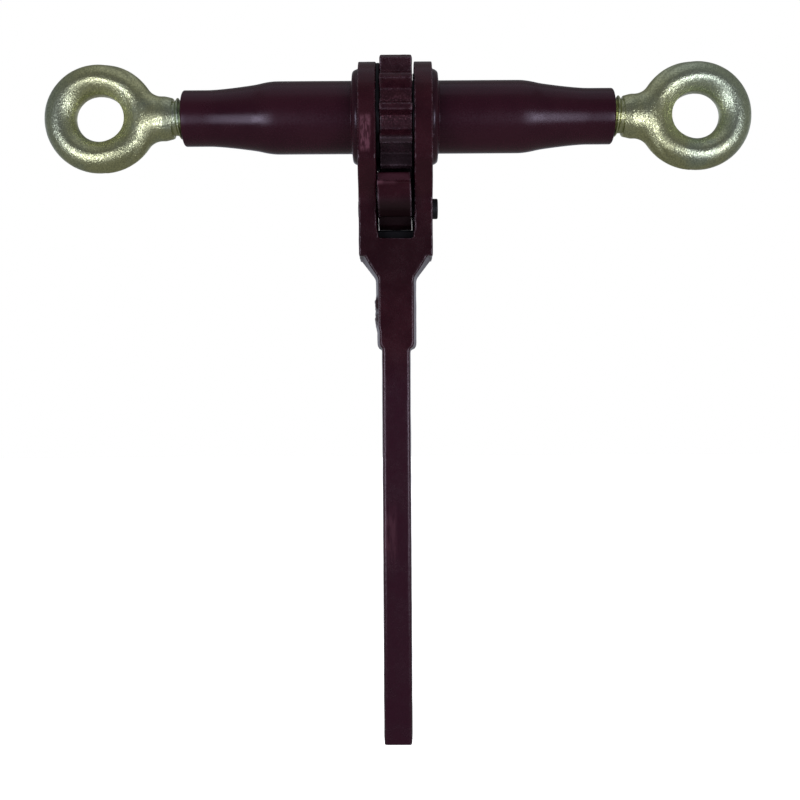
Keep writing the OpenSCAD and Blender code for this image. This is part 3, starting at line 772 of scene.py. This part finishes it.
# %% Barrel outline
BARREL_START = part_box("barrel")[0].x
BARREL_R = size("barrel").z / 2
END_R, END_REACH, TAPER_REACH = 16.35 * MM, 15.5 * MM, 40 * MM
END_ROUND = 1.2 * MM
KNEE, HOLLOW_POWER, CROWN_POWER = 0.71, 1.38, 1.7
KNEE_BLUR = 2.2 * MM
BORE_R, BORE_REACH, BORE_CHAMFER = 12.3 * MM, 60 * MM, 0.6 * MM
TAPER_MARGIN = 4 * MM


def swell(t):
    """Share of the full swell at a share t of the taper."""
    t = min(1, max(0, t))
    if t < KNEE:
        return t ** HOLLOW_POWER
    return 1 - (1 - KNEE ** HOLLOW_POWER) * ((1 - t) / (1 - KNEE)) ** CROWN_POWER


def barrel_radius(reach):
    around = np.linspace(-KNEE_BLUR, KNEE_BLUR, 9)
    share = np.mean([swell((reach + d - END_REACH) / TAPER_REACH) for d in around])
    return END_R + (BARREL_R - END_R) * share


def barrel_outline():
    corner = [(END_ROUND * (1 - math.cos(a)), END_R - END_ROUND * (1 - math.sin(a)))
              for a in np.linspace(0, math.pi / 2, 8)]
    taper = [(reach, barrel_radius(reach))
             for reach in np.linspace(TAPER_MARGIN, END_REACH + TAPER_REACH + TAPER_MARGIN, 90)]
    half = [(BORE_REACH, BORE_R), (BORE_CHAMFER, BORE_R), (0, BORE_R + BORE_CHAMFER)] + corner + taper
    half = [(BARREL_START + reach, r) for reach, r in half]
    return half + [(2 * barrel_middle_x - x, r) for x, r in reversed(half)]


print("knee of the taper at", round((END_REACH + KNEE * TAPER_REACH) / MM, 1), "mm")

# %% Turn the barrel
TURN_SIDES = 160


def closed_turning(name, outline):
    rings = len(outline)
    faces = tube_faces(rings, TURN_SIDES, capped=False)
    last = (rings - 1) * TURN_SIDES
    faces += [(last + i, last + (i + 1) % TURN_SIDES, (i + 1) % TURN_SIDES, i) for i in range(TURN_SIDES)]
    return joined(name, [mesh_object("turning", turned(outline, TURN_SIDES), faces)])


barrel = closed_turning("drawn_barrel", barrel_outline())
dress(barrel, "barrel", ["barrel"], tube_enamel)

# %% Turn the collars
COLLAR_R, COLLAR_FALL, COLLAR_CROWN = size("left_collar").z / 2, 2.8 * MM, 4.7 * MM
INNER_FALL, INNER_REACH = 0.4 * MM, 0.3 * MM
FILLET = 1.0 * MM


def collar(name, node, inner_x, outer_x):
    out = math.copysign(1, outer_x - inner_x)
    wide = [(outer_x - out * COLLAR_CROWN * (1 - math.sin(a)), COLLAR_R - COLLAR_FALL * (1 - math.cos(a)))
            for a in np.linspace(0, math.pi / 2, 18)]
    foot = [(outer_x + out * FILLET * (1 - math.cos(a)), BARREL_R + FILLET * (1 - math.sin(a)))
            for a in np.linspace(0, math.pi / 2, 7)]
    ring = closed_turning(name, [(inner_x, BARREL_R), (inner_x, COLLAR_R - INNER_FALL),
                                 (inner_x + out * INNER_REACH, COLLAR_R)] + wide + foot)
    dress(ring, "barrel", [node], tube_enamel)


for name, node, near, far in (("left_ring", "left_collar", 1, 0), ("right_ring", "right_collar", 0, 1)):
    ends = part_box(node)
    collar(name, node, ends[near].x, ends[far].x)

# %% [markdown]
# ## Forgings
# The fork, wheel, pawl and bar are forged or cast: no edge is sharp, and no flat is quite flat. A
# bevel on a CAD mesh would need clean edge loops. Instead each piece is a copy of its node that is
# wrapped in small even voxels, relaxed so that the edges round over, and then pushed in and out a
# little by noise. The wrap holds all the bores and slots where they are.

# %% Helpers for skins


def settle(thing):
    """Applies the modifiers of a new piece to its mesh."""
    shown = thing.evaluated_get(bpy.context.evaluated_depsgraph_get())
    mesh = bpy.data.meshes.new_from_object(shown)
    thing.modifiers.clear()
    old = thing.data
    thing.data = mesh
    bpy.data.meshes.remove(old)


def points_of(thing, what="co"):
    """All points of a mesh, or their normals, as rows of three numbers."""
    flat = np.empty(len(thing.data.vertices) * 3, np.float32)
    thing.data.vertices.foreach_get(what, flat)
    return flat.reshape(-1, 3)


def put_points(thing, places):
    thing.data.vertices.foreach_set("co", places.ravel())
    thing.data.update()


def wrap(thing, voxel, relax):
    """Wraps a mesh in even quads and relaxes its edges."""
    remesh = thing.modifiers.new("wrap", "REMESH")
    remesh.mode = "VOXEL"
    remesh.voxel_size = voxel
    smooth = thing.modifiers.new("relax", "SMOOTH")
    smooth.factor = 0.5
    smooth.iterations = relax
    settle(thing)


def push(thing, amount):
    """Moves each point along its normal by amount(point)."""
    normals, places = points_of(thing, "normal"), points_of(thing)
    moves = np.array([amount(Vector(p)) for p in places], np.float32)
    put_points(thing, places + normals * moves[:, None])


def ripple(point, cell, depth, seed):
    return depth * noise.noise(point / cell + Vector((seed, 2 * seed, 3 * seed)))


print("helpers: settle, points_of, put_points, wrap, push, ripple")

# %% [markdown]
# Where two solids meet inside a piece, the wrap leaves a small closed shell round the hollow. The
# points are walked from edge to edge to find the shells, and only the largest one is kept.

# %% Forging from its nodes


def outer_shell(thing):
    """Drops the small shells that a wrap leaves round hollows inside."""
    work = bmesh.new()
    work.from_mesh(thing.data)
    unseen, shells = set(work.verts), []
    while unseen:
        shell, edge = set(), [unseen.pop()]
        while edge:
            vert = edge.pop()
            shell.add(vert)
            near = [e.other_vert(vert) for e in vert.link_edges]
            edge += [v for v in near if v in unseen]
            unseen.difference_update(near)
        shells.append(shell)
    shells.sort(key=len)
    for shell in shells[:-1]:
        bmesh.ops.delete(work, geom=list(shell), context="VERTS")
    work.to_mesh(thing.data)
    work.free()


def forging(name, sources, body, material, voxel, amount, shape=None):
    """Skin over one or more nodes; shape(points) may move the points before they are dented."""
    piece = mesh_object(name, [], [])
    work = bmesh.new()
    for source in sources:
        work.from_mesh(nodes[source].data)
    bmesh.ops.remove_doubles(work, verts=work.verts, dist=WELD_DISTANCE)
    work.to_mesh(piece.data)
    work.free()
    wrap(piece, voxel, FORGING_RELAX)
    outer_shell(piece)
    if shape:
        places = points_of(piece)
        shape(places)
        put_points(piece, places)
    push(piece, amount)
    dress(piece, body, sources, material)
    return piece


FORGING_RELAX, WELD_DISTANCE = 4, 1e-6
print("forgings are relaxed", FORGING_RELAX, "times")

# %% [markdown]
# Fork and bar are one forging, so one skin covers both. Its neck and bar are nearly square, with a
# little flash left standing along the neck's left edge where the dies met.

# %% Fork and bar
BAR_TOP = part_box("fork")[0].z
BAR_HALF = size("handle_bar").y / 2
HANDLE_X = middle("handle_bar").x
NECK_TOP_Z, NECK_SQUARING, BAR_SQUARING = -96 * MM, 0.17, 0.12
SLIM_LEFT, SLIM_RIGHT, EDGE_REACH = 0.65 * MM, 0.35 * MM, 8 * MM
FLASH_TOP, FLASH_FOOT = -106 * MM, -125 * MM
FLASH_SIDE, FLASH_HALF, FLASH_HEIGHT, FLASH_LUMPS = 10.3 * MM, 9 * MM, 0.45 * MM, 0.9 * MM


def square_bar(places):
    """Brings the neck's and the bar's front and back edges out, so that their sides are nearly square."""
    x, y, z = places.T
    squaring = np.interp(z, (BAR_TOP - MM, BAR_TOP + MM, NECK_TOP_Z, NECK_TOP_Z + 12 * MM),
                         (BAR_SQUARING, NECK_SQUARING, NECK_SQUARING, 0))
    out = x - HANDLE_X
    places[:, 0] += out * squaring * np.abs(y) / BAR_HALF
    neck_foot = np.interp(z, (BAR_TOP - MM, BAR_TOP + MM, FLASH_FOOT - 3 * MM, FLASH_FOOT), (0, 1, 1, 0))
    places[:, 0] += SLIM_LEFT * neck_foot * np.clip(-out / EDGE_REACH, 0, 1)
    places[:, 0] -= SLIM_RIGHT * np.clip((BAR_TOP - z) / (2 * MM), 0, 1) * np.clip(out / EDGE_REACH, 0, 1)


def handle_skin(p):
    """Dents of the whole handle, with lumps of flash along the left edge of the neck."""
    amount = ripple(p, 10 * MM, 0.11 * MM, 1) + ripple(p, 3 * MM, 0.03 * MM, 2)
    if FLASH_FOOT < p.z < FLASH_TOP and p.x < HANDLE_X - FLASH_SIDE and abs(p.y) < FLASH_HALF:
        ends = min(1, (FLASH_TOP - p.z) / (3 * MM), (p.z - FLASH_FOOT) / (2 * MM))
        amount += ends * (FLASH_HEIGHT + ripple(p, 2.4 * MM, FLASH_LUMPS, 6))
    return amount


forging("forged_handle", ("fork", "handle_bar"), "handle", handle_enamel, 0.6 * MM, handle_skin, square_bar)

# %% Wheel and pawl
forging("toothed_wheel", ("ratchet_wheel",), "barrel", wheel_enamel, 0.5 * MM,
        lambda p: ripple(p, 4 * MM, 0.08 * MM, 3) + ripple(p, 1.5 * MM, 0.04 * MM, 4))
pawl = forging("forged_pawl", ("pawl",), "pawl", pawl_enamel, 0.45 * MM,
               lambda p: ripple(p, 5 * MM, 0.06 * MM, 5))

# %% [markdown]
# The pawl is loose on its pin and leans a little to the right at its foot. The left corner of its
# front horn is rubbed down to a soft flat. Both are made by moving points of the finished skin: the
# flat is a slanting plane, and the points in front of it are brought back to it softly.

# %% Set the pawl a little aslant
PAWL_TOP, PAWL_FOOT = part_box("pawl")[1].z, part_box("pawl")[0].z
PAWL_LEAN = 0.9 * MM
FLAT_FRONT, FLAT_X, FLAT_TOP, FLAT_FOOT = -27.9 * MM, 169.8 * MM, -39.0 * MM, -45 * MM
FLAT_SLOPE, FLAT_TILT, FLAT_BLUR, FLAT_DEPTH = 0.21, 0.12, 0.15 * MM, 2.2 * MM
FLAT_WINDOW = (-47 * MM, -44 * MM, FLAT_TOP, FLAT_TOP + 1 * MM)
HORN_BACK = -10 * MM


def lean(z):
    """How far the loose pawl stands off to the right at a height."""
    return PAWL_LEAN * (PAWL_TOP - z) / (PAWL_TOP - PAWL_FOOT)


places = points_of(pawl)
window = np.interp(places[:, 2], FLAT_WINDOW, (0, 1, 1, 0))
flat_y = FLAT_FRONT + FLAT_SLOPE * (FLAT_X - places[:, 0]) + FLAT_TILT * (places[:, 2] - FLAT_FOOT)
depth = np.logaddexp(0, (flat_y - places[:, 1]) / FLAT_BLUR) * FLAT_BLUR
places[:, 1] += window * np.where(places[:, 1] < HORN_BACK, np.clip(depth, 0, FLAT_DEPTH), 0)
places[:, 0] += lean(places[:, 2])
put_points(pawl, places)
print("pawl leans", PAWL_LEAN / MM, "mm")

# %% [markdown]
# ## Painted shade in the slot
# The slot's thin gaps between the ears and the wheel, beside the pawl and under its heel are
# filled with a black filler: painted shade, standing for the shade in the slot. It keeps clear of
# everything that turns. It is made as thin plates, wrapped together and made lumpy.

# %% Helpers for the black filler's plates


def plate(name, left, right, outline):
    """Plate across X with an outline of (y, z) points; left and right give x at a height."""
    points = [(side(z), y, z) for side in (left, right) for y, z in outline]
    return mesh_object(name, points, tube_faces(2, len(outline)))


def ring_plate(name, left, right, inner, outer, start, stop):
    """Part of a washer round the barrel, from one angle to another, 0 being to the front."""
    angles = np.radians(np.linspace(start, stop, 72))
    edge = [(-r * math.cos(a), r * math.sin(a))
            for r, way in ((inner, 1), (outer, -1)) for a in angles[::way]]
    sides = len(edge)
    points = [(x, y, z) for x in (left, right) for y, z in edge]
    half = len(angles)
    faces = [(i, (i + 1) % sides, sides + (i + 1) % sides, sides + i) for i in range(sides)]
    for shift in (0, sides):
        faces += [(shift + i, shift + i + 1, shift + sides - 2 - i, shift + sides - 1 - i)
                  for i in range(half - 1)]
    return mesh_object(name, points, faces)


print("helpers: plate, ring_plate")

# %% Lay the black filler of painted shade
WALL_GAP, FILL_T = 0.05 * MM, 0.8 * MM
SLOT_LEFT, SLOT_RIGHT = wheel_x - 11.55 * MM + WALL_GAP, wheel_x + 10.55 * MM - WALL_GAP
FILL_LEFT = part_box("ratchet_wheel")[0].x - 0.22 * MM
FILL_RADII = 21.7 * MM, 31.3 * MM
STRIP_LEFT, STRIP_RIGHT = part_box("pawl")[0].x - 0.28 * MM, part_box("pawl")[1].x + 0.33 * MM
STRIP_FOOT = (11, -68), (8, -73.7), (-6.5, -73.7), (-6.5, -69), (6.6, -63)  # y, z in millimetres


def at(x):
    """A straight side of a plate."""
    return lambda z: x


def in_mm(*points):
    return [(y * MM, z * MM) for y, z in points]


parts = [
    ring_plate("left_fill", SLOT_LEFT, FILL_LEFT, *FILL_RADII, -178, 178),
    ring_plate("right_fill", SLOT_RIGHT - FILL_T, SLOT_RIGHT, *FILL_RADII, -178, 38),
    plate("right_strip", lambda z: STRIP_RIGHT + lean(z), at(SLOT_RIGHT),
          in_mm((6.6, -37.3), (11, -37.3), *STRIP_FOOT)),
    plate("right_link", at(SLOT_RIGHT - FILL_T), at(SLOT_RIGHT),
          in_mm((4, -29), (11, -27), (11, -39), (4, -39))),
    plate("web", at(SLOT_LEFT), at(SLOT_RIGHT),
          in_mm((29.7, -23), (31.1, -24), (31.1, -33), (29.7, -35))),
    plate("left_strip", at(SLOT_LEFT), lambda z: STRIP_LEFT + lean(z),
          in_mm((6.6, -54), (11, -54), *STRIP_FOOT)),
    plate("front_fill", at(SLOT_LEFT), at(SLOT_RIGHT),
          in_mm((-7, -73.7), (-7, -68.6), (-4.9, -67.85), (-4.5, -73.7)))]
shade_fill = joined("slot_shade_fill", parts)
wrap(shade_fill, 0.25 * MM, 1)
push(shade_fill, lambda p: ripple(p, 1.6 * MM, 0.06 * MM, 9))
print("slot from", round(SLOT_LEFT / MM, 2), "to", round(SLOT_RIGHT / MM, 2), "mm")

# %% Finish the black filler of painted shade
# Black and dull black of the painted shade in the slot.
SHADE_FILL_BLACK, SHADE_FILL_DULL = (0.0012, 0.0011, 0.0014, 1), (0.0035, 0.0030, 0.0038, 1)

black_shade_fill, tree, shader = new_material("black_shade_fill")
mottle = noise_node(tree, position(tree), 300.0)
tree.links.new(colour_mix(tree, mottle, SHADE_FILL_BLACK, SHADE_FILL_DULL), shader["Base Color"])
shader["Roughness"].default_value = 0.5
shader["Specular IOR Level"].default_value = 0.15
dress(shade_fill, "handle", [], black_shade_fill)

# %% [markdown]
# ## Eyes
# An eye is a round bar bent into a ring and run into a stout neck by a broad shoulder. It could be
# sculpted, but measured forms keep it true: ring, shoulder and neck are made apart with plenty of
# points, wrapped into one skin and relaxed longer than the other forgings, so that they flow into
# each other as metal does in a die.

# %% Measures of an eye
EYE_R = size("left_eye_bolt").z / 2
BAR_R = 9.5 * MM
RING_R = EYE_R - BAR_R
HOLE_HIGH, HOLE_STRETCH = 14.0 * MM, 1.03
HOLE_SHIFT = 1.15 * MM
LAND_THIN, LAND_FROM, LAND_WIDTH = 0.82, 13 * MM, 10 * MM
NECK_R = 13.15 * MM
NECK_REACH = 44.8 * MM
NECK_EDGE_R = 0.7 * MM
NECK_END_R, NECK_FALL = 12.0 * MM, 5.2 * MM
NECK_LAP, NECK_SINK = 5 * MM, 0.2 * MM
HOLLOW_R = 10 * MM
SHOULDER_SHIFT = 2.4 * MM
SHOULDER_R = math.hypot(SHOULDER_SHIFT, EYE_R)
HOLLOW_Z = NECK_R + HOLLOW_R
HOLLOW_X = SHOULDER_SHIFT + math.sqrt((SHOULDER_R + HOLLOW_R) ** 2 - HOLLOW_Z ** 2)
HOLLOW_FROM = SHOULDER_SHIFT + (HOLLOW_X - SHOULDER_SHIFT) * SHOULDER_R / (SHOULDER_R + HOLLOW_R)
NECK_DEPTHS = ([v * MM for v in (0, 24, 30, 35, 38, 42, 46)],
               [v * MM for v in (9.5, 9.6, 10.1, 10.4, 10.9, 11.4, 11.5)])
SADDLE = [v * MM for v in (12, 14, 17, 20, 22.6, 26, 29)], (0.6, 0.9, 1.0, 0.88, 0.55, 0.14, 0)
SADDLE_DEPTH, SADDLE_FROM, SADDLE_TO = 0.23, 22, 72
print("eye radius", round(EYE_R / MM, 2), "neck to", round(NECK_REACH / MM, 2))

# %% Sections of the neck


def neck_depth(x):
    """Half depth of the neck, front to back: flat beside the ring, then up to the collar."""
    return float(np.interp(x, NECK_DEPTHS[0], NECK_DEPTHS[1]))


def shoulder_section(x, sides):
    """Oval section of the shoulder, from the round bar's thickness to the full neck."""
    if x < HOLLOW_FROM:
        half_height = math.sqrt(SHOULDER_R ** 2 - (x - SHOULDER_SHIFT) ** 2)
    elif x < HOLLOW_X:
        half_height = HOLLOW_Z - math.sqrt(HOLLOW_R ** 2 - (HOLLOW_X - x) ** 2)
    else:
        half_height = NECK_R
    depth = neck_depth(x)
    return [(x, depth * math.cos(2 * math.pi * i / sides), half_height * math.sin(2 * math.pi * i / sides))
            for i in range(sides)]


print("neck depth", round(neck_depth(NECK_REACH) / MM, 2), "mm at the screw")

# %% Cut a hole
CUTTER_SIDES = 128


def cut_by(thing, cutter):
    cut = thing.modifiers.new("cut", "BOOLEAN")
    cut.operation = "DIFFERENCE"
    cut.object = cutter
    cut.solver = "EXACT"
    settle(thing)
    bpy.data.objects.remove(cutter)


def cross_cylinder(name, radius, half):
    """Cylinder along Y through the eye's centre."""
    points = [(radius * math.cos(2 * math.pi * i / CUTTER_SIDES), y,
               radius * math.sin(2 * math.pi * i / CUTTER_SIDES))
              for y in (half, -half) for i in range(CUTTER_SIDES)]
    return mesh_object(name, points, tube_faces(2, CUTTER_SIDES))


print("a cutter has", CUTTER_SIDES, "sides")

# %% Ring, shoulder and neck
RING_STEPS, BAR_SIDES, LOFT_SIDES = 160, 64, 96
SHOULDER_START, SHOULDER_STEPS = 4 * MM, 60


def ring_mesh():
    points = [((RING_R + BAR_R * math.cos(b)) * math.cos(a), BAR_R * math.sin(b),
               (RING_R + BAR_R * math.cos(b)) * math.sin(a))
              for a in np.linspace(0, 2 * math.pi, RING_STEPS, endpoint=False)
              for b in np.linspace(0, 2 * math.pi, BAR_SIDES, endpoint=False)]
    last = (RING_STEPS - 1) * BAR_SIDES
    closing = [(last + i, last + (i + 1) % BAR_SIDES, (i + 1) % BAR_SIDES, i) for i in range(BAR_SIDES)]
    return mesh_object("ring", points, tube_faces(RING_STEPS, BAR_SIDES, capped=False) + closing)


def shoulder_mesh():
    length = HOLLOW_X + 1 * MM - SHOULDER_START
    steps = [SHOULDER_START + length * k / SHOULDER_STEPS for k in range(SHOULDER_STEPS + 1)]
    shoulder = mesh_object("shoulder", [p for x in steps for p in shoulder_section(x, LOFT_SIDES)],
                           tube_faces(len(steps), LOFT_SIDES))
    cut_by(shoulder, cross_cylinder("inside", RING_R, 3 * BAR_R))
    return shoulder


def neck_mesh():
    edge = [(NECK_REACH - NECK_EDGE_R * (1 - math.sin(a)), NECK_END_R - NECK_EDGE_R * (1 - math.cos(a)))
            for a in np.linspace(0, math.pi / 2, 8)]
    outline = [(HOLLOW_X - NECK_LAP, NECK_R - NECK_SINK), (HOLLOW_X - 1 * MM, NECK_R),
               (HOLLOW_X + 1 * MM, NECK_R), (NECK_REACH - NECK_FALL, NECK_R)] + edge
    points = [(x, y * neck_depth(x) / NECK_R, z) for x, y, z in turned(outline, LOFT_SIDES)]
    return mesh_object("neck", points, tube_faces(len(outline), LOFT_SIDES))


left_eye = joined("left_eye", [ring_mesh(), shoulder_mesh(), neck_mesh()])
wrap(left_eye, 0.5 * MM, 9)
print("eye wrapped in", len(left_eye.data.vertices), "points")

# %% [markdown]
# The eye's flanks are pressed in towards the neck, as a saddle, and the land round the hole is
# thinner than the bar. Both are a scaling of the depth, by the distance from the hole and by the
# angle from the neck. The hole itself is cut last, so that its rim stays crisp: it is slightly oval.

# %% Press the eye and cut its hole


def eased(share):
    """Smooth step from 0 to 1."""
    share = np.clip(share, 0, 1)
    return share * share * (3 - 2 * share)


places = points_of(left_eye)
reach = np.hypot(places[:, 0], places[:, 2])
angle = np.degrees(np.abs(np.arctan2(places[:, 2], places[:, 0])))
saddle = np.interp(reach, *SADDLE) * eased((SADDLE_TO - angle) / (SADDLE_TO - SADDLE_FROM))
places[:, 1] *= 1 - SADDLE_DEPTH * saddle
places[:, 1] *= LAND_THIN + (1 - LAND_THIN) * eased((reach - LAND_FROM) / LAND_WIDTH)
put_points(left_eye, places)
hole = cross_cylinder("hole", HOLE_HIGH, 2 * BAR_R)
hole.data.transform(Matrix.Translation((HOLE_SHIFT, 0, 0)) @ Matrix.Scale(HOLE_STRETCH, 4, (1, 0, 0)))
cut_by(left_eye, hole)
push(left_eye, lambda p: ripple(p, 7 * MM, 0.07 * MM, 8))
right_eye = right_hand("right_eye", left_eye)
dress(left_eye, "anchor_eye", ["left_eye_bolt"], yellow_zinc)
dress(right_eye, "far_eye", ["right_eye_bolt"], yellow_zinc)

# %% [markdown]
# ## Screws
# Each eye runs out into a screw, right-hand on the left and left-hand on the right. The thread is
# one ridge swept along a helix over a plain core, with 48 steps to a turn. It fades in over a sixth
# of a turn beside the neck and out over half a turn at the tip. A screw modifier would sweep it
# too, but wouldn't let the ridge fade.

# %% Build one screw
LEAD = 4 * MM
CORE_R, CREST_R, ROOT_SINK = 9.95 * MM, 12 * MM, 0.2 * MM
FOOT_HALF, CREST_HALF = 1.9 * MM, 0.35 * MM
STEPS = 48
FADE_IN, FADE_OUT = STEPS / 6, STEPS / 2
THREAD_START, THREAD_END = NECK_REACH - 0.6 * MM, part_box("left_thread")[1].x
CORE_START, CORE_END, CORE_CHAMFER = NECK_REACH - 3 * MM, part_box("left_eye_bolt")[1].x, 1.5 * MM


def ridge_mesh():
    count = int((THREAD_END - THREAD_START - 2 * FOOT_HALF) / LEAD * STEPS)
    points = []
    for k in range(count + 1):
        angle = 2 * math.pi * k / STEPS
        x = THREAD_START + FOOT_HALF + LEAD * k / STEPS
        fade = min(1, (k + 1) / FADE_IN, (count - k + 1) / FADE_OUT)
        crest = CORE_R + (CREST_R - CORE_R) * fade
        foot = CORE_R - ROOT_SINK
        section = (-FOOT_HALF, foot), (-CREST_HALF, crest), (CREST_HALF, crest), (FOOT_HALF, foot)
        points += [(x + along, radius * math.cos(angle), radius * math.sin(angle))
                   for along, radius in section]
    return mesh_object("ridge", points, tube_faces(count + 1, 4))


core_outline = [(CORE_START, CORE_R), (CORE_END - CORE_CHAMFER, CORE_R), (CORE_END, CORE_R - CORE_CHAMFER)]
core = mesh_object("core", turned(core_outline, STEPS), tube_faces(3, STEPS))
left_screw = joined("left_screw", [ridge_mesh(), core])
right_screw = right_hand("right_screw", left_screw)
dress(left_screw, "anchor_eye", ["left_thread"], yellow_zinc)
dress(right_screw, "far_eye", ["right_thread"], yellow_zinc)
for screw in (left_screw, right_screw):
    screw.data.shade_flat()
